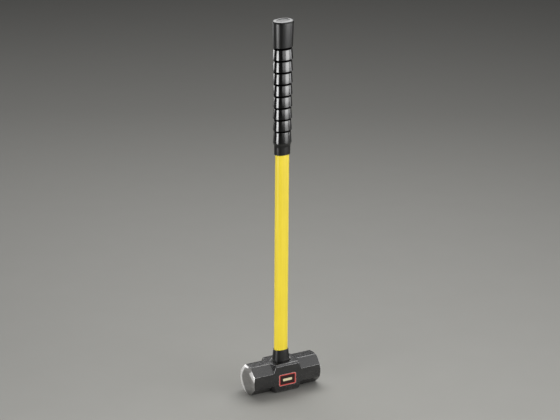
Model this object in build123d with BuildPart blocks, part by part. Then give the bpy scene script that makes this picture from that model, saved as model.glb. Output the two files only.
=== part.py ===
from build123d import *
import math
import os

# Double-faced sledgehammer with a bonded fibreglass handle, standing on its head.
# Millimetres. +Z runs up the handle and +X along the head. The origin lies on the flat
# underside of the head, straight below the centre line of the handle.

# Whole tool
overall_length = 914.0          # underside of the head to the end of the grip

# Forged head
head_length = 188.0             # from the crown of one striking face to the other
head_width = 67.0               # across the cheeks
head_height = 71.0              # underside to the side that the handle leaves
corner_leg = 19.5               # corner cut that makes the ends octagonal
block_length = 63.0             # square-cornered block around the eye
block_corner_leg = 4.0          # small corner cut along the block
runout_length = 5.0             # slope from the block's corners down to the octagon
face_radius = 25.5              # rim of the domed striking face
crown_height = 0.7              # how far the face is domed
bevel_radius = 32.5             # rim of the ground bevel around the face
bevel_angle = 16.0              # bevel, from the plane of the face
edge_angle = 28.0               # outer edge behind the bevel, from the plane of the face
long_edge_round = 2.0           # rounding of the forged edges along the head

# Handle section: an oval of four tangent arcs, with its long axis along the head
shaft_width = 34.0
shaft_depth = 22.6
shaft_side_radius = 40.0        # how flat the two broad sides are
jacket_wall = 1.8               # jacket over the fibreglass core

# Eye through the head, wider at both mouths than at its waist
eye_waist_gap = 2.4             # from the handle section out to the eye's waist
eye_mouth_gap = 6.2             # from the handle section out to the eye's mouths
eye_lip = 1.4                   # broken edge around each mouth
resin_recess = 1.2              # resin and core lie this far inside the underside

# Collar between jacket and head
collar_height = 27.0            # visible above the head
collar_spigot = 9.0             # depth of the collar inside the eye
collar_ledge = 4.0              # step at the foot of the collar that the jacket sits on
collar_top_wall = 1.9
collar_foot_wall = 4.3
collar_edge = 0.8               # broken edge at the top of the collar

# Grip
grip_length = 325.0
grip_end_wall = 9.0             # solid rubber over the end of the shaft
cap_length = 65.5               # smooth butt section
cap_end_wall = 8.8              # rubber thickness near the butt end
cap_foot_wall = 6.9             # rubber thickness where the cap meets the rings
cap_end_round = 4.0
dish_depth = 1.4                # shallow dish moulded into the butt end
dish_rim = 5.0                  # width of the rim left around the dish
ring_count = 8
ring_pitch = 28.8
first_crest_wall = 7.7          # rubber at the lower edge of the first ring
last_crest_wall = 5.8           # rubber at the lower edge of the last ring
ring_flare = 2.0                # each ring is this much thinner at its upper edge
groove_width = 3.0
groove_wall = 3.3
groove_draft = 0.8              # height of each sloping side of a groove
ring_edge = 0.9                 # broken edge at the foot of each ring and of the cap
shoulder_length = 9.0           # slope from the last ring down to the sleeve
sleeve_wall = 2.8               # plain sleeve at the lower end of the grip

head_mid = head_height / 2
grip_foot = overall_length - grip_length
collar_top = head_height + collar_height
collar_foot = head_height - collar_spigot
jacket_foot = collar_foot + collar_ledge
shaft_end = overall_length - grip_end_wall


def oval(height, wall):
    """Handle section at a height, with every arc moved out by wall (or in, if negative)."""
    half_width = shaft_width / 2
    half_depth = shaft_depth / 2
    end_radius = (
        (2 * shaft_side_radius * half_depth - half_width**2 - half_depth**2)
        / (2 * (shaft_side_radius - half_width))
    )
    end_centre = half_width - end_radius
    side_centre = shaft_side_radius - half_depth
    join_angle = math.degrees(math.atan2(side_centre, end_centre))
    with BuildSketch(Plane.XY.offset(height)) as section:
        with BuildLine():
            for turn in (0, 180):
                CenterArc(
                    (end_centre * math.cos(math.radians(turn)), 0),
                    end_radius + wall,
                    turn - join_angle,
                    2 * join_angle,
                )
                CenterArc(
                    (0, -side_centre * math.cos(math.radians(turn))),
                    shaft_side_radius + wall,
                    turn + join_angle,
                    180 - 2 * join_angle,
                )
        make_face()
    return section.sketch


def stack(*stations):
    """Ruled solid through the handle section at each (height, wall)."""
    with BuildPart() as solid:
        for height, wall in stations:
            add(oval(height, wall))
        loft(ruled=True)
    return solid.part


def eye_gap(height):
    """Distance from the handle section to the wall of the eye at a height."""
    return eye_waist_gap + (eye_mouth_gap - eye_waist_gap) * abs(height - head_mid) / head_mid


# Head: octagonal ends that rise into a square block, with a turned nose on each end
with BuildPart() as head:
    runout_start = block_length / 2 + runout_length
    for station, leg in (
        (-head_length / 2, corner_leg),
        (-runout_start, corner_leg),
        (-block_length / 2, block_corner_leg),
        (block_length / 2, block_corner_leg),
        (runout_start, corner_leg),
        (head_length / 2, corner_leg),
    ):
        with BuildSketch(Plane.YZ.offset(station)) as profile:
            with Locations((0, head_mid)):
                Rectangle(head_width, head_height)
            chamfer(profile.vertices(), leg)
            fillet(profile.vertices(), long_edge_round)
    loft(ruled=True)

    # One turning profile gives the dome, the bevel and an edge that scallops into the flats
    nose_radius = math.hypot(head_width, head_height) / 2
    face_rim = head_length / 2 - crown_height
    bevel_rim = face_rim - (bevel_radius - face_radius) * math.tan(math.radians(bevel_angle))
    edge_rim = bevel_rim - (nose_radius - bevel_radius) * math.tan(math.radians(edge_angle))
    with BuildSketch(Plane.XZ) as turning:
        with BuildLine():
            TangentArc(
                (head_length / 2, head_mid), (face_rim, head_mid + face_radius), tangent=(0, 1)
            )
            Polyline(
                (face_rim, head_mid + face_radius),
                (bevel_rim, head_mid + bevel_radius),
                (edge_rim, head_mid + nose_radius),
                (0, head_mid + nose_radius),
            )
            mirror(about=Plane.YZ)
            Line((-head_length / 2, head_mid), (head_length / 2, head_mid))
        make_face()
    revolve(axis=Axis((0, 0, head_mid), (1, 0, 0)), mode=Mode.INTERSECT)

    # Eye: flared mouths above and below a narrower waist, each with a broken lip
    add(
        stack(
            (0, eye_mouth_gap + eye_lip),
            (eye_lip, eye_gap(eye_lip)),
            (head_mid, eye_gap(head_mid)),
            (head_height - eye_lip, eye_gap(head_height - eye_lip)),
            (head_height, eye_mouth_gap + eye_lip),
        ),
        mode=Mode.SUBTRACT,
    )

# Fibreglass core, from inside the underside of the head to the end of the grip's bore
with BuildPart() as shaft_core:
    add(stack((resin_recess, -jacket_wall), (shaft_end, -jacket_wall)))

# Jacket over the core, standing on the ledge inside the collar
with BuildPart() as shaft_jacket:
    add(stack((jacket_foot, 0), (shaft_end, 0)))
    add(stack((jacket_foot, -jacket_wall), (shaft_end, -jacket_wall)), mode=Mode.SUBTRACT)

# Resin cast between the core and the eye; the two flares lock it in the head
with BuildPart() as resin_bond:
    add(
        stack(
            (resin_recess, eye_gap(resin_recess)),
            (head_mid, eye_gap(head_mid)),
            (collar_foot, eye_gap(collar_foot)),
        )
    )
    add(stack((resin_recess, -jacket_wall), (collar_foot, -jacket_wall)), mode=Mode.SUBTRACT)

# Collar that closes the eye above the resin and tapers up to the jacket
with BuildPart() as collar:
    add(
        stack(
            (collar_foot, collar_foot_wall),
            (head_height, collar_foot_wall),
            (collar_top - collar_edge, collar_top_wall),
            (collar_top, collar_top_wall - collar_edge),
        )
    )
    add(stack((collar_foot, -jacket_wall), (jacket_foot, -jacket_wall)), mode=Mode.SUBTRACT)
    add(stack((jacket_foot, 0), (collar_top, 0)), mode=Mode.SUBTRACT)

# Grip: sleeve, shoulder, flared rings parted by grooves, and a smooth closed cap
cap_foot = overall_length - cap_length
shoulder_top = cap_foot - ring_count * ring_pitch
crest_step = (first_crest_wall - last_crest_wall) / (ring_count - 1)
profile_stations = [
    (grip_foot, sleeve_wall),
    (shoulder_top - shoulder_length, sleeve_wall),
]
for ring in range(ring_count):
    crest_wall = last_crest_wall + crest_step * ring
    ring_foot = shoulder_top + ring * ring_pitch + (groove_width / 2 if ring else 0)
    ring_head = shoulder_top + (ring + 1) * ring_pitch - groove_width / 2
    profile_stations += [
        (ring_foot, crest_wall - ring_edge),
        (ring_foot + ring_edge, crest_wall),
        (ring_head, crest_wall - ring_flare),
        (ring_head + groove_draft, groove_wall),
        (ring_head + groove_width - groove_draft, groove_wall),
    ]
cap_start = cap_foot + groove_width / 2
profile_stations += [
    (cap_start, cap_foot_wall - ring_edge),
    (cap_start + ring_edge, cap_foot_wall),
    (overall_length, cap_end_wall),
]

with BuildPart() as grip:
    add(stack(*profile_stations))
    fillet(grip.faces().sort_by(Axis.Z)[-1].edges(), cap_end_round)
    add(stack((grip_foot, 0), (shaft_end, 0)), mode=Mode.SUBTRACT)
    dish_wall = cap_end_wall - cap_end_round - dish_rim
    add(
        stack(
            (overall_length - dish_depth, dish_wall - dish_depth),
            (overall_length, dish_wall),
        ),
        mode=Mode.SUBTRACT,
    )

os.makedirs("parts", exist_ok=True)
for name, piece in (
    ("head", head),
    ("resin_bond", resin_bond),
    ("shaft_core", shaft_core),
    ("shaft_jacket", shaft_jacket),
    ("collar", collar),
    ("grip", grip),
):
    piece.part.label = name
    export_step(piece.part, f"parts/{name}.step")
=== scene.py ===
import bpy
import math
import numpy as np
from mathutils import Matrix


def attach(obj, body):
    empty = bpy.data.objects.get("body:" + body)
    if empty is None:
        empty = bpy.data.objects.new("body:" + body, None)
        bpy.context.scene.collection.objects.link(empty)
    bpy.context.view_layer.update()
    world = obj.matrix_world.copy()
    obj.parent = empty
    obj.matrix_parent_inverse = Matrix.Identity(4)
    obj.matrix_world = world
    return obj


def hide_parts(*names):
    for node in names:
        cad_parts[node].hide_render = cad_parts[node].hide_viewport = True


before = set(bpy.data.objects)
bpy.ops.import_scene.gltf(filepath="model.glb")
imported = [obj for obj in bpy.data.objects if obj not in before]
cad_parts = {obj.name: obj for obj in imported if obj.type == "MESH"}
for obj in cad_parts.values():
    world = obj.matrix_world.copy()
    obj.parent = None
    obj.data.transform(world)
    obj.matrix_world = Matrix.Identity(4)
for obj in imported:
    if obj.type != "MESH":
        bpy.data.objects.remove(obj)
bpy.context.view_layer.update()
mm = 0.001


def gridMesh(name, grid, startPole=None, endPole=None, closeRows=False, flip=False):
    # Rows of points round a loop become quads; a pole closes an end with a fan of triangles,
    # closeRows joins the last row to the first, and flip turns the faces the other way
    rows, cols = grid.shape[:2]
    points = grid.reshape(-1, 3)
    row = np.arange(rows if closeRows else rows - 1)[:, None]
    col = np.arange(cols)[None, :]
    here, there = row * cols, ((row + 1) % rows) * cols
    beside = (col + 1) % cols
    quads = np.stack([here + col, here + beside, there + beside, there + col], -1).reshape(-1, 4)
    faces = (quads[:, ::-1] if flip else quads).tolist()
    ring = np.arange(cols)
    for pole, first, turned in ((startPole, 0, True), (endPole, (rows - 1) * cols, False)):
        if pole is None:
            continue
        points = np.vstack([points, pole])
        tip = np.full(cols, len(points) - 1)
        fan = np.stack([first + ring, first + (ring + 1) % cols, tip], -1)
        faces += (fan[:, ::-1] if turned != flip else fan).tolist()
    mesh = bpy.data.meshes.new(name)
    mesh.from_pydata(points.tolist(), [], faces)
    mesh.shade_smooth()
    piece = bpy.data.objects.new(name, mesh)
    bpy.context.scene.collection.objects.link(piece)
    return piece


def pointAttribute(piece, name, values):
    # One number for each point, which a material can read by name
    layer = piece.data.attributes.new(name, "FLOAT", "POINT")
    layer.data.foreach_set("value", np.asarray(values, np.float32))


def unevenness(points, wavelength, seed, waves=14):
    # Sum of plane waves in random directions, each 0.6 to 1.6 wavelengths long, mostly between
    # -1 and 1, for slow swells in a surface
    chance = np.random.default_rng(seed)
    axes = chance.normal(size=(waves, 3))
    axes /= np.linalg.norm(axes, axis=1)[:, None]
    stretch = 2 * math.pi / (wavelength * chance.uniform(0.6, 1.6, waves))
    phase = chance.uniform(0, 2 * math.pi, waves)
    field = np.sin(points @ (axes * stretch[:, None]).T + phase).sum(-1)
    return field / math.sqrt(waves)


# Handle section

section = {
    "width": 34.0 * mm,
    "depth": 22.6 * mm,
    "sideRadius": 40.0 * mm,
    "columns": 176,
}


def ovalLoop(look):
    # Four tangent arcs with points evenly spaced along each, and the outward direction at each point
    halfWidth, halfDepth, side = look["width"] / 2, look["depth"] / 2, look["sideRadius"]
    end = (2 * side * halfDepth - halfWidth**2 - halfDepth**2) / (2 * (side - halfWidth))
    join = math.atan2(side - halfDepth, halfWidth - end)
    arcs = (
        ((halfWidth - end, 0), end, -join, join),
        ((0, halfDepth - side), side, join, math.pi - join),
        ((end - halfWidth, 0), end, math.pi - join, math.pi + join),
        ((0, side - halfDepth), side, math.pi + join, 2 * math.pi - join),
    )
    place, outward = [], []
    for centre, radius, start, stop in arcs:
        turn = np.linspace(start, stop, look["columns"] // 4, endpoint=False)
        outward.append(np.stack([np.cos(turn), np.sin(turn)], -1))
        place.append(np.array(centre) + radius * outward[-1])
    return np.vstack(place), np.vstack(outward)


ovalPlace, ovalOut = ovalLoop(section)


def ovalRows(heights, walls, shrink=None):
    # Section pushed out by a wall at each height; shrink scales the loop towards its middle
    heights, walls = np.asarray(heights, float), np.asarray(walls, float)
    shrink = np.ones_like(heights) if shrink is None else np.asarray(shrink, float)
    flat = (ovalPlace[None] + ovalOut[None] * walls[:, None, None]) * shrink[:, None, None]
    tall = np.broadcast_to(heights[:, None, None], flat.shape[:2] + (1,))
    return np.concatenate([flat, tall], -1)


def roundedPath(stations, cornerSteps=5, mostOfRun=0.48):
    # Each station is (height, wall, radius): straight runs, with a quadratic curve across each
    # corner that starts a radius before it, or mostOfRun of the run where that is less
    out = [np.array(stations[0][:2])]
    for before, here, after in zip(stations, stations[1:], stations[2:]):
        a, b, c = (np.array(s[:2]) for s in (before, here, after))
        radius = here[2]
        if radius <= 0:
            out.append(b)
            continue
        runIn, runOut = np.linalg.norm(b - a), np.linalg.norm(c - b)
        reach = min(radius, mostOfRun * runIn, mostOfRun * runOut)
        start = b + (a - b) / runIn * reach
        stop = b + (c - b) / runOut * reach
        t = np.linspace(0, 1, cornerSteps)[:, None]
        out += list((1 - t) ** 2 * start + 2 * t * (1 - t) * b + t**2 * stop)
    out.append(np.array(stations[-1][:2]))
    return np.array(out)


print("helpers ready")

# Forged head

headLook = {
    "length": 188.0 * mm,
    "width": 66.5 * mm,          # a hair inside the cheeks, which leaves room for the sticker
    "height": 71.0 * mm,
    "cornerLeg": 19.5 * mm,
    "blockLength": 63.0 * mm,
    "blockCorner": 4.0 * mm,
    "runout": 5.0 * mm,
    "runoutSoftness": 0.1,       # rounding at the ends of the runout, as a share of its length
    "faceRadius": 25.5 * mm,
    "crown": 0.7 * mm,
    "bevelRadius": 32.5 * mm,
    "bevelAngle": 16.0,
    "edgeAngle": 28.0,
    "bodySharpness": 150,        # a higher power leaves a smaller rounding between the flats,
    "noseSharpness": 500,        # between face, bevel and edge,
    "rimSharpness": 130,         # and between body and nose
    "swell": 0.16 * mm,          # how far the forged flats wander, inwards only
    "swellRadius": 35.0 * mm,    # distance from the axis at which they wander that far
    "swells": (                  # wavelength, share and seed
        (45 * mm, 0.5, 3),
        (16 * mm, 0.35, 4),
    ),
    "swellFade": 900,            # how sharply the wander dies at the nose
    "noseScale": 35,             # nose depth at the middle of a face; it is 0 where the body ends
    "edgeFade": 90,              # how sharply the mark of a long edge dies beside it
    "eyeWaistGap": 2.4 * mm,
    "eyeMouthGap": 6.2 * mm,
    "eyeLip": 1.6 * mm,
    "columns": 288,
    "turnSteps": 4000,           # round the axis, among which the columns are placed
    "crowding": 2.2,             # how much denser the columns stand at a long edge,
    "crowdWidth": 0.05,          # and how far to each side of it, in radians
    "bodyRows": (25, 17, 21),    # from the nose to the runout, over it, and on to the middle
    "runMargin": 1.5 * mm,       # the runout's rows start and end this far outside it
    "fanRadius": 38 * mm,
    "fanDepth": 18 * mm,
    "fanWalk": (                 # start, stop and number of the steps over the nose
        (0.8 * mm, 31 * mm, 26),
        (31.6 * mm, 44 * mm, 26),
        (45 * mm, 56 * mm, 9),
    ),
    "longestRay": 120 * mm,
    "halvings": 34,              # of a ray, which find where it leaves the head
}


def softPositive(value, softness):
    # Half of value plus the root of value squared and softness squared: a rounded max(value, 0)
    return 0.5 * (value + np.sqrt(value**2 + softness**2))


def headTerms(look, x, y, z):
    # Each flat, bevel and dome gives a number that reaches 1 on its own surface
    halfWidth, halfHeight, halfLength = look["width"] / 2, look["height"] / 2, look["length"] / 2
    soft = look["runoutSoftness"]
    slope = (look["blockLength"] / 2 + look["runout"] - np.abs(x)) / look["runout"]
    rise = softPositive(slope, soft) - softPositive(slope - 1, soft)
    leg = look["cornerLeg"] + (look["blockCorner"] - look["cornerLeg"]) * np.clip(rise, 0, 1)
    corner = (np.abs(y) + np.abs(z)) / (halfWidth + halfHeight - leg)
    radius = np.hypot(y, z)
    bevelSlope, edgeSlope = (math.tan(math.radians(look[k])) for k in ("bevelAngle", "edgeAngle"))
    faceRim = halfLength - look["crown"]
    bevelRim = faceRim - (look["bevelRadius"] - look["faceRadius"]) * bevelSlope
    dome = (np.abs(x) + look["crown"] * (radius / look["faceRadius"]) ** 2) / halfLength
    bevel = (np.abs(x) + bevelSlope * radius) / (faceRim + bevelSlope * look["faceRadius"])
    edge = (np.abs(x) + edgeSlope * radius) / (bevelRim + edgeSlope * look["bevelRadius"])
    sides = np.stack([np.abs(y) / halfWidth, np.abs(z) / halfHeight, corner], -1)
    nose = np.stack([dome, bevel, edge], -1)
    return sides, nose


def softMost(terms, sharpness):
    # Smooth maximum along the last axis: a power mean, so the edges between flats are rounded
    top = terms.max(-1)
    return top * ((terms / top[..., None]) ** sharpness).sum(-1) ** (1 / sharpness)


def headField(look, x, y, z):
    # The greatest of all the terms, which is 1 on the head's surface, then the greatest of the
    # body's and of the nose's alone, and the terms of the sides
    sides, nose = headTerms(look, x, y, z)
    body, end = softMost(sides, look["bodySharpness"]), softMost(nose, look["noseSharpness"])
    return softMost(np.stack([body, end], -1), look["rimSharpness"]), body, end, sides


def headRays(look):
    # Rays leave a stretch of the head's axis, square to it along the body. Over each nose they fan
    # out from its end, to points that walk out across a disc of fanRadius, fanDepth ahead, and then
    # back along the cylinder behind it. Round the axis they crowd at the long edges
    inner = look["length"] / 2 - look["fanDepth"]
    walk = np.concatenate([np.linspace(*stretch) for stretch in look["fanWalk"]])
    ahead = np.minimum(look["fanRadius"] + look["fanDepth"] - walk, look["fanDepth"])
    fan = np.arctan2(np.minimum(walk, look["fanRadius"]), ahead)
    runStart = look["blockLength"] / 2 - look["runMargin"]
    runStop = look["blockLength"] / 2 + look["runout"] + look["runMargin"]
    stops = (inner, runStop, runStart, 0)
    half = np.concatenate([
        np.linspace(start, stop, count + 1)[1:]
        for start, stop, count in zip(stops, stops[1:], look["bodyRows"])
    ])
    along = np.concatenate([half, -half[-2::-1]])
    x0 = np.concatenate([np.full(len(fan), inner), along, np.full(len(fan), -inner)])
    tilt = np.concatenate([fan, np.full(len(along), math.pi / 2), math.pi - fan[::-1]])
    halfWidth, halfHeight = look["width"] / 2, look["height"] / 2
    corners = [
        math.atan2(z, y)
        for leg in (look["cornerLeg"], look["blockCorner"])
        for y, z in ((halfWidth, halfHeight - leg), (halfWidth - leg, halfHeight))
    ]
    edges = [e for a in corners for e in (a, math.pi - a, math.pi + a, 2 * math.pi - a)]
    turn = np.linspace(0, 2 * math.pi, look["turnSteps"] + 1)
    humps = sum(np.exp(-(((turn - e) / look["crowdWidth"]) ** 2)) for e in edges)
    steps = np.concatenate([[0], np.cumsum(1 + look["crowding"] * humps[:-1])])
    around = np.interp(np.linspace(0, steps[-1], look["columns"] + 1)[:-1], steps, turn)
    return x0, tilt, around


def headGrid(look):
    # Each ray is halved until it ends on the surface, and slow waves then sink the flats a little.
    # With the points come how deep each lies in the nose and how near it is to a long edge
    x0, tilt, around = headRays(look)
    dx = np.cos(tilt)[:, None] * np.ones_like(around)
    dy = np.sin(tilt)[:, None] * np.cos(around)
    dz = np.sin(tilt)[:, None] * np.sin(around)
    near, far = np.zeros_like(dx), np.full_like(dx, look["longestRay"])
    for _ in range(look["halvings"]):
        reach = (near + far) / 2
        inside = headField(look, x0[:, None] + dx * reach, dy * reach, dz * reach)[0] < 1
        near, far = np.where(inside, reach, near), np.where(inside, far, reach)
    points = np.stack([x0[:, None] + dx * near, dy * near, dz * near], -1)
    wander = sum(share * unevenness(points, wave, seed) for wave, share, seed in look["swells"])
    swell = (0.5 - 0.5 * np.clip(wander, -1, 1)) * look["swell"] / look["swellRadius"]
    _, body, end, sides = headField(look, points[..., 0], points[..., 1], points[..., 2])
    onSide = 1 / (1 + np.exp((end - body) * look["swellFade"]))
    points[..., 1:] *= (1 - swell * onSide)[..., None]
    ranked = np.sort(sides, -1)
    edgeness = np.exp(-(ranked[..., -1] - ranked[..., -2]) * look["edgeFade"])
    return points + [0, 0, look["height"] / 2], (end - body) * look["noseScale"], edgeness


def eyeCutter(look):
    # The handle's section, widened from the waist to each mouth and over a rounded lip,
    # and carried on past both sides of the head
    tall, past = look["height"], 2 * mm
    waist, mouth, lip = look["eyeWaistGap"], look["eyeMouthGap"], look["eyeLip"]
    spread, throat = 1.2 * lip, mouth - 0.1 * mm
    lipRound, throatRound, waistRound = 0.9 * mm, 2.6 * mm, 8 * mm
    path = roundedPath([
        (-past, mouth + 2 * lip, 0),
        (0, mouth + spread, lipRound),
        (spread, throat, throatRound),
        (tall / 2, waist, waistRound),
        (tall - spread, throat, throatRound),
        (tall, mouth + spread, lipRound),
        (tall + past, mouth + 2 * lip, 0),
    ], cornerSteps=8)
    return gridMesh("eyeCutter", ovalRows(path[:, 0], path[:, 1]), (0, 0, -past), (0, 0, tall + past))


def bakeModifiers(piece):
    # What the modifiers make becomes the piece's own mesh
    evaluated = piece.evaluated_get(bpy.context.evaluated_depsgraph_get())
    solid = bpy.data.meshes.new_from_object(evaluated)
    piece.modifiers.clear()
    piece.data = solid


grid, noseDepth, edgeness = headGrid(headLook)
halfLength, midHeight = headLook["length"] / 2, headLook["height"] / 2
head = gridMesh("forgedHead", grid, (halfLength, 0, midHeight), (-halfLength, 0, midHeight), flip=True)
pointAttribute(head, "noseDepth", np.append(noseDepth.ravel(), [headLook["noseScale"]] * 2))
pointAttribute(head, "edgeness", np.append(edgeness.ravel(), [0, 0]))
cutter = eyeCutter(headLook)
cut = head.modifiers.new("eye", "BOOLEAN")
cut.operation, cut.object, cut.solver = "DIFFERENCE", cutter, "EXACT"
bakeModifiers(head)
bpy.data.objects.remove(cutter)
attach(head, "root")
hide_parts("head")
print("head:", len(head.data.polygons), "faces")

# Collar

collarLook = {
    "foot": 61.0 * mm,
    "ledge": 65.0 * mm,
    "headTop": 71.0 * mm,
    "top": 98.0 * mm,
    "footWall": 4.3 * mm,
    "topWall": 1.9 * mm,
    "rimWall": 1.045 * mm,       # where the rounded lip gives way to the flat top
    "coreWall": -1.8 * mm,
    "lip": 0.8 * mm,
    "lipDrop": 0.48 * mm,        # the lip's corner lies this far below the top
    "rimRound": 0.3 * mm,
    "footRound": 0.4 * mm,
    "headRound": 3.0 * mm,
}


def collarRows(look):
    # A closed profile round the handle: up the tapered outside, over the lip, and down the inside
    # to the ledge
    path = roundedPath([
        (look["foot"], look["coreWall"], 0),
        (look["foot"], look["footWall"], look["footRound"]),
        (look["headTop"], look["footWall"], look["headRound"]),
        (look["top"] - look["lipDrop"], look["topWall"], look["lip"]),
        (look["top"], look["rimWall"], look["rimRound"]),
        (look["top"], 0, 0),
        (look["ledge"], 0, 0),
        (look["ledge"], look["coreWall"], 0),
    ])
    return ovalRows(path[:, 0], path[:, 1])


collar = gridMesh("mouldedCollar", collarRows(collarLook), closeRows=True)
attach(collar, "root")
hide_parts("collar")
print("collar ready")

# Yellow jacket

jacketLook = {
    "foot": 65.0 * mm,
    "top": 905.0 * mm,
    "wall": 1.8 * mm,
    "rows": 120,
}


def jacketRows(look):
    # A straight tube: up the outside, and back down the inside one wall further in
    up = np.linspace(look["foot"], look["top"], look["rows"])
    heights = np.concatenate([up, up[::-1]])
    walls = np.concatenate([np.zeros(len(up)), np.full(len(up), -look["wall"])])
    return ovalRows(heights, walls)


jacket = gridMesh("yellowJacket", jacketRows(jacketLook), closeRows=True)
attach(jacket, "root")
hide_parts("shaft_jacket")
print("jacket ready")

# Grip

gripLook = {
    "foot": 589.0 * mm,
    "top": 914.0 * mm,
    "boreTop": 905.0 * mm,
    "capFoot": 848.5 * mm,
    "capFootWall": 6.9 * mm,
    "capEndWall": 8.8 * mm,
    "capRound": 4.6 * mm,
    "capCorner": (               # drop, inset and rounding, as shares of capRound
        (0.72, 0.0, 0.7),
        (0.14, 0.5, 0.5),
        (0.0, 1.6, 0.4),
    ),
    "dishDepth": 1.4 * mm,
    "dishWall": -0.2 * mm,
    "dishFloor": 5.0 * mm,       # how far in from its rim the rows start to close to the middle
    "dishRimRound": 0.8 * mm,
    "dishFloorRound": 1.2 * mm,
    "rings": 8,
    "pitch": 28.8 * mm,
    "firstCrest": 7.7 * mm,
    "lastCrest": 5.8 * mm,
    "flare": 2.0 * mm,
    "ringEdge": 0.9 * mm,
    "edgeLean": 0.35,            # how far a ring's foot is cut back, as a share of ringEdge
    "ringHeadRound": 1.0 * mm,
    "groove": 4.6 * mm,
    "grooveWall": 3.2 * mm,
    "grooveRound": 0.5 * mm,
    "draft": 0.8 * mm,
    "shoulder": 9.0 * mm,
    "shoulderRound": 2.0 * mm,
    "sleeveWall": 2.8 * mm,
    "footRound": 0.7 * mm,
    "cornerSteps": 7,
    "closingRows": 5,            # that shrink towards each pole
}


def crestStations(look, foot, crest):
    # The cut-back foot of a ring or of the cap
    lean = look["edgeLean"] * look["ringEdge"]
    return [(foot, crest - lean, look["ringEdge"]), (foot + lean, crest, look["ringEdge"])]


def gripRows(look):
    # Profile from the foot up: sleeve, shoulder, rings that narrow upwards to a groove each,
    # then the cap, its rounded corner and the dish
    top, foot, half = look["top"], look["foot"], look["groove"] / 2
    shoulderTop = look["capFoot"] - look["rings"] * look["pitch"]
    stations = [
        (foot, 0, 0),
        (foot, look["sleeveWall"], look["footRound"]),
        (shoulderTop - look["shoulder"], look["sleeveWall"], look["shoulderRound"]),
    ]
    for ring in range(look["rings"]):
        crest = look["lastCrest"] + (look["firstCrest"] - look["lastCrest"]) * ring / (look["rings"] - 1)
        ringFoot = shoulderTop + ring * look["pitch"] + (half if ring else 0)
        ringHead = shoulderTop + (ring + 1) * look["pitch"] - half
        stations += crestStations(look, ringFoot, crest)
        stations += [
            (ringHead, crest - look["flare"], look["ringHeadRound"]),
            (ringHead + look["draft"], look["grooveWall"], look["grooveRound"]),
            (ringHead + look["groove"] - look["draft"], look["grooveWall"], look["grooveRound"]),
        ]
    stations += crestStations(look, look["capFoot"] + half, look["capFootWall"])
    size = look["capRound"]
    stations += [
        (top - drop * size, look["capEndWall"] - inset * size, rounding * size)
        for drop, inset, rounding in look["capCorner"]
    ]
    dishTop = top - look["dishDepth"]
    stations += [
        (top, look["dishWall"], look["dishRimRound"]),
        (dishTop, look["dishWall"] - look["dishDepth"], look["dishFloorRound"]),
        (dishTop, look["dishWall"] - look["dishFloor"], 0),
    ]
    path = roundedPath(stations, look["cornerSteps"])
    closing = np.linspace(1, 0, look["closingRows"] + 2)[1:-1]
    count, last = len(closing), path[-1]
    # Bore roof outwards, bore wall down, then the outside up to the dished end
    heights = np.concatenate([np.full(count + 1, look["boreTop"]), path[:, 0], np.full(count, last[0])])
    walls = np.concatenate([np.zeros(count + 1), path[:, 1], np.full(count, last[1])])
    shrink = np.concatenate([closing[::-1], np.ones(len(path) + 1), closing])
    return ovalRows(heights, walls, shrink), (0, 0, look["boreTop"]), (0, 0, last[0])


rows, startPole, endPole = gripRows(gripLook)
grip = gridMesh("rubberGrip", rows, startPole, endPole)
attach(grip, "root")
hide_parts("grip")
print("grip:", len(grip.data.polygons), "faces")

# Cheek sticker

stickerLook = {
    "width": 46.0 * mm,
    "height": 29.0 * mm,
    "corner": 3.5 * mm,
    "cornerSteps": 7,
    "sideSteps": 12,
    "middle": 31.0 * mm,
    "thickness": 0.12 * mm,
    "backDepth": 0.4 * mm,       # the middle of its closed back lies this deep inside the cheek
    "edgeColour": (0.72, 0.45, 0.42, 1),
    "borderColour": (0.55, 0.06, 0.05, 1),
    "fieldColour": (0.02, 0.004, 0.004, 1),
    "barColour": (0.72, 0.66, 0.42, 1),
    "edge": 0.6 * mm,
    "border": 3.2 * mm,          # both measured in from the outline
    "halfBar": (12.1 * mm, 3.1 * mm),
    "inkSpread": 0.1 * mm,
    "roughness": 0.3,
}


def stickerMesh(look):
    # Rounded rectangle of nested loops laid on the cheek, with a thin rolled edge
    turn = np.linspace(0, math.pi / 2, look["cornerSteps"])
    corner = look["corner"]
    acrossArm, upArm = look["width"] / 2 - corner, look["height"] / 2 - corner
    quarters = ((1, 1, 0), (-1, 1, 0.5 * math.pi), (-1, -1, math.pi), (1, -1, 1.5 * math.pi))
    corners = np.vstack([
        np.stack([sx * acrossArm + corner * np.cos(turn + start),
                  sz * upArm + corner * np.sin(turn + start)], -1)
        for sx, sz, start in quarters
    ])
    loop = []
    for here, after in zip(corners, np.roll(corners, -1, 0)):
        onSide = np.linalg.norm(after - here) > corner
        loop.append(np.linspace(here, after, look["sideSteps"] if onSide else 1, endpoint=False))
    loop = np.vstack(loop)
    # How large each nested loop is, and how far above the cheek in thicknesses
    scales = np.array([0.03, 0.25, 0.45, 0.62, 0.76, 0.87, 0.95, 0.985, 1, 1])
    lift = np.array([1, 1, 1, 1, 1, 1, 1, 1, 0.55, -0.6]) * look["thickness"]
    flat = loop[None] * scales[:, None, None]
    wall = headLook["width"] / 2
    height = np.broadcast_to(lift[:, None], flat.shape[:2])
    grid = np.stack([flat[..., 0], -(wall + height), flat[..., 1] + look["middle"]], -1)
    front, back = -(wall + look["thickness"]), look["backDepth"] - wall
    return gridMesh("cheekSticker", grid, (0, front, look["middle"]), (0, back, look["middle"]))


sticker = stickerMesh(stickerLook)
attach(sticker, "root")
print("sticker ready")

# Shader maths


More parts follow.
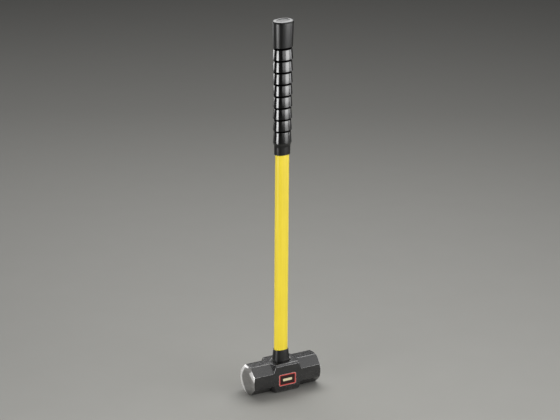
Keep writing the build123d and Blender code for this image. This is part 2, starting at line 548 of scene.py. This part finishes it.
class Value:
    # Wraps an output socket so that shader formulas read as Python expressions
    def __init__(self, tree, socket):
        self.tree, self.socket = tree, socket

    def math(self, operation, other=None, swap=False):
        first, second = (other, self) if swap else (self, other)
        values = {0: first} if second is None else {0: first, 1: second}
        return self.tree.node("ShaderNodeMath", {"operation": operation}, values)

    def __add__(self, other):
        return self.math("ADD", other)

    def __radd__(self, other):
        return self.math("ADD", other, swap=True)

    def __sub__(self, other):
        return self.math("SUBTRACT", other)

    def __rsub__(self, other):
        return self.math("SUBTRACT", other, swap=True)

    def __mul__(self, other):
        return self.math("MULTIPLY", other)

    def __rmul__(self, other):
        return self.math("MULTIPLY", other, swap=True)

    def __truediv__(self, other):
        return self.math("DIVIDE", other)

    def __rtruediv__(self, other):
        return self.math("DIVIDE", other, swap=True)

    def __pow__(self, other):
        return self.math("POWER", other)

    def __rpow__(self, other):
        return self.math("POWER", other, swap=True)

    def abs(self):
        return self.math("ABSOLUTE")

    def low(self, other):
        return self.math("MINIMUM", other)

    def high(self, other):
        return self.math("MAXIMUM", other)

    def step(self, start, stop):
        # 0 before start, 1 past stop, smooth between; with start above stop it falls as the value rises
        low, high, flip = (start, stop, False) if start < stop else (stop, start, True)
        values = {"Value": self, "From Min": low, "From Max": high,
                  "To Min": 1.0 if flip else 0.0, "To Max": 0.0 if flip else 1.0}
        return self.tree.node("ShaderNodeMapRange", {"interpolation_type": "SMOOTHSTEP"}, values)

    def band(self, middle, spread):
        # Rises smoothly from 0 to 1 over spread to each side of middle; a negative spread makes it fall
        return self.step(middle - spread, middle + spread)

    def stretched(self, amounts):
        return self.tree.node("ShaderNodeVectorMath", {"operation": "MULTIPLY"}, {0: self, 1: amounts})

    def parts(self):
        split = self.tree.node("ShaderNodeSeparateXYZ", {}, {0: self}).socket.node
        return [Value(self.tree, split.outputs[k]) for k in range(3)]


class Finish:
    # One material: any node by type, settings and socket values
    def __init__(self, name):
        self.material = bpy.data.materials.new(name)
        self.material.use_nodes = True
        self.nodes, self.links = self.material.node_tree.nodes, self.material.node_tree.links
        self.nodes.clear()

    def node(self, kind, settings, values, output=0):
        made = self.nodes.new(kind)
        for key, value in settings.items():
            setattr(made, key, value)
        for key, value in values.items():
            if isinstance(value, Value):
                self.links.new(value.socket, made.inputs[key])
            else:
                made.inputs[key].default_value = value
        return Value(self, made.outputs[output])

    def place(self):
        return self.node("ShaderNodeTexCoord", {}, {}, "Object")

    def attribute(self, name):
        return self.node("ShaderNodeAttribute", {"attribute_name": name}, {}, "Fac")

    def noise(self, vector, scale, detail=3.0, roughness=0.5):
        values = {"Vector": vector, "Scale": scale, "Detail": detail, "Roughness": roughness}
        return self.node("ShaderNodeTexNoise", {}, values)

    def blend(self, factor, first, second):
        return self.node("ShaderNodeMix", {"data_type": "RGBA"}, {0: factor, 6: first, 7: second}, 2)

    def bump(self, height, distance, strength):
        values = {"Height": height, "Distance": distance, "Strength": strength}
        return self.node("ShaderNodeBump", {}, values)

    def surface(self, values):
        shader = self.node("ShaderNodeBsdfPrincipled", {}, values)
        end = self.nodes.new("ShaderNodeOutputMaterial")
        self.links.new(shader.socket, end.inputs["Surface"])
        return self.material


def grey(level, warm=0.0):
    return (level * (1 + warm), level, level * (1 - warm), 1.0)


# Finishes

steelFinish = {
    "paint": (0.0055, 0.0055, 0.0062, 1),
    "paintLight": (0.018, 0.0170, 0.0165, 1),
    "paintRoughness": 0.24,
    "paintSheen": 1.73,          # refractive index of the lacquer
    "worn": grey(0.17, 0.02),
    "wornShare": 0.75,           # how far the rubbed edges show that colour
    "ground": grey(0.94, 0.01),
    "groundRoughness": 0.30,
    "groundMetal": 0.38,         # the rest scatters like the fine scratches of a grinding wheel
    "struckAndShaded": grey(0.40, 0.02),
    "struckRoughness": 0.50,
    # dull struck steel; the spot low on the near side is painted shade
    "dullAndShadeSpots": (               # across, up from the middle, and radius of each
        (-1 * mm, 3 * mm, 21.5 * mm),
        (-21 * mm, -19 * mm, 26 * mm),
        (2 * mm, 20 * mm, 9.5 * mm),
        (-13 * mm, 33 * mm, 7.5 * mm),
    ),
    "dullSpread": 0.14,          # softness of the dull patch's edge, to each side of a half
    "broadWander": 5 * mm,       # how far that edge strays, in slow waves
    "fineWander": 4 * mm,        # and in fine ones
    "creep": 0.07,               # how far paint runs over the ground edge, as a nose depth
    "lowCreep": 0.16,            # and how much further at the underside
    "creepWander": 0.9,          # how much the paint's edge wanders, as a nose depth
}


def headMaterial(look):
    f = Finish("forgedSteel")
    place = f.place()
    _, y, z = place.parts()
    broad = f.noise(place, 22.0)
    fine = f.noise(place, 260.0, 4.0, 0.6)
    grain = f.noise(place, 900.0, 2.0)
    # Bare where the nose has been ground; the paint's edge wanders a little
    mid = headLook["height"] / 2
    creep = look["creep"] + look["lowCreep"] * (1 - z / mid).high(0.0)
    depth = f.attribute("noseDepth") + (f.noise(place, 120.0) - 0.5) * look["creepWander"] - creep
    bare = depth.band(0.02, 0.12)
    # Streaks along the head lighten the paint, which is rubbed through in places at the long edges
    streak = f.noise(place.stretched((30.0, 150.0, 150.0)), 1.0, 4.0, 0.6)
    cloud = (broad * 0.35 + streak * 0.45 + fine * 0.2).step(0.34, 0.68)
    rubbed = f.attribute("edgeness").step(0.35, 0.95) * (fine * 0.7 + broad * 0.6).step(0.42, 0.85)
    paint = f.blend(cloud, look["paint"], look["paintLight"])
    painted = f.blend(rubbed * look["wornShare"], paint, look["worn"])
    # Struck disc, dull grey; where it reaches towards the low near side it is painted shade. Each spot
    # gives a half to the power of (distance / radius) to the fourth, and the steel is dull where the
    # spots' sum passes a half
    up = z - mid
    wander = (broad - 0.5) * look["broadWander"] + (fine - 0.5) * look["fineWander"]
    dull = 0.0
    for spotAcross, spotUp, reach in look["dullAndShadeSpots"]:
        apart = ((y - spotAcross) ** 2 + (up - spotUp) ** 2) ** 0.5 + wander
        dull = 0.5 ** ((apart / reach) ** 4) + dull
    dullShadedDisc = dull.band(0.5, look["dullSpread"])
    # Faint rings from the turning, and smears across the bare steel
    radius = (y**2 + up**2) ** 0.5
    turned = f.node("ShaderNodeCombineXYZ", {}, {0: radius * 900.0, 1: y * 25.0, 2: z * 25.0})
    rings = f.noise(turned, 1.0, 2.0)
    smear = f.noise(place.stretched((40.0, 60.0, 420.0)), 1.0)
    tone = (smear * 0.6 + rings * 0.4).step(0.25, 0.8) * 0.3 + 0.7
    steel = f.blend(tone, grey(0.0), f.blend(dullShadedDisc, look["ground"], look["struckAndShaded"]))
    paintRough = look["paintRoughness"] + (fine - 0.5) * 0.2 + (broad - 0.5) * 0.14
    duller = look["struckRoughness"] - look["groundRoughness"]
    steelRough = look["groundRoughness"] + dullShadedDisc * duller + (smear - 0.5) * 0.12
    relief = (broad * 0.5 + fine * 0.35 + grain * 0.15) * (1 - bare) + (rings * 0.12 + smear * 0.1) * bare
    return f.surface({
        "Base Color": f.blend(bare, painted, steel),
        "Metallic": bare * (look["groundMetal"] + (1 - look["groundMetal"]) * dullShadedDisc),
        "Roughness": paintRough * (1 - bare) + steelRough * bare,
        "IOR": look["paintSheen"],
        "Normal": f.bump(relief, 0.6 * mm, 0.5),
    })


gripFinish = {
    "base": 0.004,
    "ringRoughness": 0.20,
    "capRoughness": 0.34,
    "sleeveRoughness": 0.30,
    "grooveRoughness": 0.75,
    "dishRoughness": 0.16,       # added to the cap's
    "halfDish": (16.8 * mm, 11.1 * mm),
    "coat": 0.5,
    "coatRoughness": 0.10,
}

collarFinish = {
    "dark": grey(0.004),
    "light": grey(0.006),
    "roughness": 0.34,
}


def rubber(name):
    # The start of a rubber: its finish and place, a slow tone, the sway of its roughness, and its grain
    f = Finish(name)
    place = f.place()
    fine, broad = f.noise(place, 700.0), f.noise(place, 40.0)
    sway = (broad - 0.5) * 0.06 + (fine - 0.5) * 0.05
    return f, place, broad.step(0.3, 0.7), sway, f.bump(fine, 0.1 * mm, 0.4)


def gripMaterial(look, shape):
    # Glossy rings between a satin cap and a satin sleeve; the grooves are dull, and their floors carry
    # painted shade
    f, place, slow, sway, grain = rubber("gripRubber")
    x, y, height = place.parts()
    pitch, half, edge = shape["pitch"], shape["groove"] / 2, shape["ringEdge"]
    capFoot, shoulder = shape["capFoot"], shape["shoulder"]
    shoulderTop = capFoot - shape["rings"] * pitch
    # Height over the middle of the nearest groove, repeated at every pitch
    above = (height - shoulderTop + pitch / 2).math("FLOORED_MODULO", pitch) - pitch / 2
    overFirst = height.step(shoulderTop + half, shoulderTop + 2 * half)
    underCap = height.step(capFoot + 3 * half, capFoot + 2 * half)
    floorStart, floorStop = above.band(-half, 0.3 * mm), above.step(half + edge, half + 0.4 * edge)
    groove = overFirst * underCap * floorStart * floorStop
    cap = height.step(capFoot + half, capFoot + half + 0.5 * mm)
    sleeve = height.step(shoulderTop - 0.3 * shoulder, shoulderTop - 0.7 * shoulder)
    ring = (1 - cap) * (1 - sleeve) * (1 - groove)
    # The floor of the dish is duller than the cap round it
    acrossDish, overDish = look["halfDish"]
    outwards = ((x / acrossDish) ** 2 + (y / overDish) ** 2) ** 0.5
    dish = outwards.step(1.0, 0.9) * height.step(shape["top"] - 4 * mm, shape["top"] - 3 * mm)
    zones = ((ring, "ring"), (cap, "cap"), (sleeve, "sleeve"), (groove, "groove"), (dish, "dish"))
    base = look["base"]
    tone = f.blend(slow, grey(base * 0.8), grey(base * 1.2))
    # In the grooves a darker colour and black metal with no shine are painted shade for the recesses
    return f.surface({
        "Base Color": f.blend(groove, tone, grey(base * 0.3)),
        "Metallic": groove,          # black metal has no sheen of its own, so the groove floors stay dark
        "Roughness": sum(zone * look[name + "Roughness"] for zone, name in zones) + sway,
        "Normal": grain,
        "Coat Weight": ring * look["coat"],
        "Coat Roughness": look["coatRoughness"],
    })


def collarMaterial(look):
    f, _, slow, sway, grain = rubber("collarRubber")
    return f.surface({
        "Base Color": f.blend(slow, look["dark"], look["light"]),
        "Roughness": look["roughness"] + sway,
        "Normal": grain,
    })


jacketFinish = {
    "deep": (0.87, 0.670, 0.038, 1),
    "pale": (0.955, 0.755, 0.050, 1),
    "roughness": 0.36,
}


def jacketMaterial(look):
    # Long streaks up the handle tint the plastic and ripple its gloss
    f = Finish("yellowJacketPlastic")
    place = f.place()
    streak = f.noise(place.stretched((260.0, 260.0, 5.0)), 1.0)
    broad = f.noise(place, 14.0, 2.0)
    return f.surface({
        "Base Color": f.blend((streak * 0.6 + broad * 0.4).step(0.3, 0.7), look["deep"], look["pale"]),
        "Roughness": look["roughness"] + (streak - 0.5) * 0.12,
        "Normal": f.bump(streak, 0.2 * mm, 0.35),
    })


resinFinish = {
    "dark": (0.12, 0.085, 0.045, 1),
    "light": (0.2, 0.15, 0.085, 1),
    "roughness": 0.35,
}


def resinMaterial(look):
    f = Finish("castResin")
    place = f.place()
    broad, fine = f.noise(place, 60.0), f.noise(place, 500.0, 2.0)
    return f.surface({
        "Base Color": f.blend(broad.step(0.3, 0.7), look["dark"], look["light"]),
        "Roughness": look["roughness"] + (fine - 0.5) * 0.2,
        "Normal": f.bump(broad + fine * 0.3, 0.8 * mm, 0.4),
    })


fibreFinish = {
    "dark": (0.34, 0.29, 0.17, 1),
    "light": (0.62, 0.57, 0.4, 1),
    "roughness": 0.55,
}


def fibreMaterial(look):
    # The speckle of cut fibre ends
    f = Finish("fibreEnd")
    place = f.place()
    ends, broad = f.noise(place, 1600.0, 2.0), f.noise(place, 80.0, 2.0)
    return f.surface({
        "Base Color": f.blend((ends * 0.7 + broad * 0.3).step(0.35, 0.65), look["dark"], look["light"]),
        "Roughness": look["roughness"] + (ends - 0.5) * 0.2,
        "Normal": f.bump(ends, 0.3 * mm, 0.5),
    })


def stickerMaterial(look):
    f = Finish("printedVinyl")
    x, _, z = f.place().parts()
    across, up = x.abs(), (z - look["middle"]).abs()
    # Distance from the sticker's outline, measured inwards like a rounded box
    corner, spread = look["corner"], look["inkSpread"]
    qx, qz = across - (look["width"] / 2 - corner), up - (look["height"] / 2 - corner)
    inset = corner - (qx.high(0.0) ** 2 + qz.high(0.0) ** 2) ** 0.5 - qx.high(qz).low(0.0)
    halfBarAcross, halfBarUp = look["halfBar"]
    bar = up.band(halfBarUp, -spread) * across.band(halfBarAcross, -spread)
    colour = f.blend(inset.band(look["edge"], spread), look["edgeColour"], look["borderColour"])
    colour = f.blend(inset.band(look["border"], spread), colour, look["fieldColour"])
    colour = f.blend(bar, colour, look["barColour"])
    return f.surface({"Base Color": colour, "Roughness": look["roughness"]})


def wear(piece, material):
    # The piece shows this material alone
    piece.data.materials.clear()
    piece.data.materials.append(material)


wear(head, headMaterial(steelFinish))
wear(grip, gripMaterial(gripFinish, gripLook))
wear(collar, collarMaterial(collarFinish))
wear(jacket, jacketMaterial(jacketFinish))
wear(sticker, stickerMaterial(stickerLook))
wear(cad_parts["resin_bond"], resinMaterial(resinFinish))
wear(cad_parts["shaft_core"], fibreMaterial(fibreFinish))
print("finishes ready")

# Floor, light and camera

studio = {
    # The floor's colour carries a painted pool of light, palest near the object and darker further off
    "floor": (1.01, 1.0, 0.93, 1),
    "floorReach": 14,
    "floorLevel": 0.223,
    "paintedLightFade": 2.05,           # metres over which the floor darkens by a factor of e
    "floorRoughness": 0.75,
    "paintedPoolMiddle": (-0.5026, -0.8645),
    "paintedPoolRadius": 0.8,         # the floor is evenly pale this far round that spot,
    "levelRadius": 1.0,          # and has floorLevel this far from it
    "world": grey(0.10),
    "worldStrength": 1.0,
}


def plane(name, reach):
    # Level square round the origin
    corners = [(-reach, -reach, 0), (reach, -reach, 0), (reach, reach, 0), (-reach, reach, 0)]
    mesh = bpy.data.meshes.new(name)
    mesh.from_pydata(corners, [], [(0, 1, 2, 3)])
    made = bpy.data.objects.new(name, mesh)
    bpy.context.scene.collection.objects.link(made)
    return made


def floorMaterial(look):
    # A painted pool of light: palest round a spot in front of the object; beyond it the level falls as e
    # to the minus distance over paintedLightFade
    f = Finish("floorWithPaintedLight")
    place = f.place()
    x, y, _ = place.parts()
    poolMiddleX, poolMiddleY = look["paintedPoolMiddle"]
    away = ((x - poolMiddleX) ** 2 + (y - poolMiddleY) ** 2) ** 0.5
    past = away.high(look["paintedPoolRadius"]) - look["levelRadius"]
    level = look["floorLevel"] * math.e ** (past / -look["paintedLightFade"])
    speck = f.noise(place, 9.0, 4.0)
    return f.surface({
        "Base Color": f.blend(level, grey(0.0), look["floor"]),
        "Roughness": look["floorRoughness"] + (speck - 0.5) * 0.1,
    })


floor = plane("studioFloor", studio["floorReach"])
wear(floor, floorMaterial(studio))

world = bpy.data.worlds.new("studioWorld")
bpy.context.scene.world = world
world.use_nodes = True
background = world.node_tree.nodes["Background"]
background.inputs["Color"].default_value = studio["world"]
background.inputs["Strength"].default_value = studio["worldStrength"]

panels = {                       # bearing, distance, bottom, top, width and radiance
    "leftPanel": (198, 2.0, 0.10, 0.68, 1.12, 13.5),
    "rightPanel": (304.5, 2.0, 0.31, 0.85, 0.80, 7.0),
    "rightStep": (304.5, 2.0, 0.10, 0.31, 0.80, 3.0),
    "farRightPanel": (336, 2.2, 0.15, 0.80, 0.8, 3.6),
    "rightFill": (303, 2.3, 0.28, 1.20, 2.7, 2.2),
    "backLeftPanel": (112, 3.0, 0.02, 0.50, 2.2, 4.2),
    "endPanel": (60, 2.0, 1.30, 2.40, 2.2, 3.6),
}

hungPanels = {                   # the same, then height of the middle, lean and turn
    "topPanel": ((60, 1.85, 0, 1.9, 3.7, 5.5), (2.6, 0, -30)),
    "slopeCard": ((323, 1.3, 0, 1.6, 1.6, 1.15), (1.79, 36, 413)),
}


def softbox(name, bearing, distance, low, high, width, radiance):
    # Upright panel facing the handle: bearing anticlockwise from +X, power from its brightness and area
    light = bpy.data.lights.new(name, "AREA")
    light.shape, light.size, light.size_y = "RECTANGLE", width, high - low
    light.energy = radiance * math.pi * width * (high - low)
    made = bpy.data.objects.new(name, light)
    bpy.context.scene.collection.objects.link(made)
    turn = math.radians(bearing)
    made.location = (distance * math.cos(turn), distance * math.sin(turn), (low + high) / 2)
    made.rotation_euler = (math.pi / 2, 0, turn + math.pi / 2)
    made.visible_camera = False
    return made


def hang(panel, height, lean, turn):
    # Moves a panel's middle to another height, and turns it after tipping it up from facing down
    panel.location.z = height
    panel.rotation_euler = (math.radians(lean), 0, math.radians(turn))


for name, measures in panels.items():
    softbox(name, *measures)
for name, (measures, hanging) in hungPanels.items():
    hang(softbox(name, *measures), *hanging)

view = {
    "spot": (-3.760006, -6.467236, 3.285001),
    "bearing": 239.8578,         # from what it looks at to the camera, anticlockwise from +X
    "elevation": 20.7613,        # how far down it looks
    "roll": 0.4048,
    "lens": 220.13,
    "sensor": 36.0,
    "clipEnd": 60.0,
}

camera = bpy.data.objects.new("camera", bpy.data.cameras.new("camera"))
bpy.context.scene.collection.objects.link(camera)
camera.data.lens, camera.data.sensor_width = view["lens"], view["sensor"]
camera.data.clip_end = view["clipEnd"]
camera.matrix_world = (
    Matrix.Translation(view["spot"])
    @ Matrix.Rotation(math.radians(view["bearing"] + 90), 4, "Z")
    @ Matrix.Rotation(math.radians(90 - view["elevation"]), 4, "X")
    @ Matrix.Rotation(math.radians(view["roll"]), 4, "Z")
)
bpy.context.scene.camera = camera
bpy.context.scene.view_settings.view_transform = "Standard"
print("studio ready")

bpy.context.view_layer.update()
